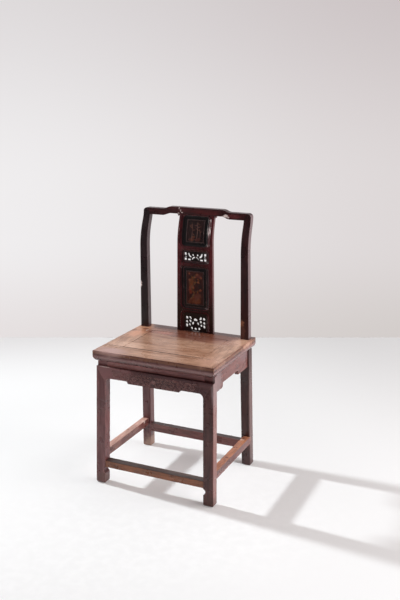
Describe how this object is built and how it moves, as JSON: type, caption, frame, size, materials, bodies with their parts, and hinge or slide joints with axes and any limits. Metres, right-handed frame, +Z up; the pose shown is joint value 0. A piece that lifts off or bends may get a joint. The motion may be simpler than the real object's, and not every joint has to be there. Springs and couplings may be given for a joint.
{
  "type": "inlaid side chair",
  "caption": "Armless wooden side chair with a mitred panelled seat, box stretchers, hoofed front legs and a curved back whose framed splat holds pierced frets and inlaid panels.",
  "frame": {"origin": "on the floor, under the middle of the chair's overall box", "axes": "+X to the right seen from the front, +Y to the back (the front faces -Y), +Z up"},
  "size_m": [0.4618, 0.3835, 0.962],
  "materials": {
    "upright_wood": "dark reddish brown stain, waxed, worn edges",
    "stretcher_cross_wood": "worn brown over dark stain",
    "stretcher_side_wood": "foot-worn brown",
    "seat_cross_wood": "worn light brown top, dark edge",
    "seat_side_wood": "worn light brown top, dark edge",
    "seat_panel_wood": "worn light brown, satin",
    "seat_brace_wood": "bare sawn wood",
    "apron_wood": "dark purple brown stain, low carving",
    "side_board_wood": "dull purple brown stain",
    "crest_wood": "dark red brown, polished by hands",
    "stile_wood": "dark red brown lacquer",
    "splat_cross_wood": "dark red brown lacquer",
    "black_panel": "black lacquer",
    "fret_wood": "dark lacquered carving",
    "inlay_moulding": "dark brown moulding",
    "inlay_upper": "dark inlay with red brown figures",
    "inlay_lower": "red brown inlaid figures"
  },
  "bodies": {
    "root": {"apron_front": "apron_wood", "apron_rear": "apron_wood", "crest_rail": "crest_wood", "fret_lower": "fret_wood", "fret_upper": "fret_wood", "front_leg_left": "upright_wood", "front_leg_right": "upright_wood", "inlay_frame_middle": "inlay_moulding", "inlay_frame_top": "inlay_moulding", "inlay_middle": "inlay_lower", "inlay_top": "inlay_upper", "rear_post_left": "upright_wood", "rear_post_right": "upright_wood", "seat_brace": "seat_brace_wood", "seat_panel": "seat_panel_wood", "seat_rail_front": "seat_cross_wood", "seat_rail_left": "seat_side_wood", "seat_rail_rear": "seat_cross_wood", "seat_rail_right": "seat_side_wood", "side_apron_left": "side_board_wood", "side_apron_right": "side_board_wood", "side_bracket_left": "side_board_wood", "side_bracket_right": "side_board_wood", "splat_panel_middle": "black_panel", "splat_panel_top": "black_panel", "splat_rail_lower": "splat_cross_wood", "splat_rail_middle": "splat_cross_wood", "splat_rail_upper": "splat_cross_wood", "splat_stile_left": "stile_wood", "splat_stile_right": "stile_wood", "stretcher_front": "stretcher_cross_wood", "stretcher_left": "stretcher_side_wood", "stretcher_rear": "stretcher_cross_wood", "stretcher_right": "stretcher_side_wood", "waist_front": "apron_wood"}
  },
  "joints": []
}
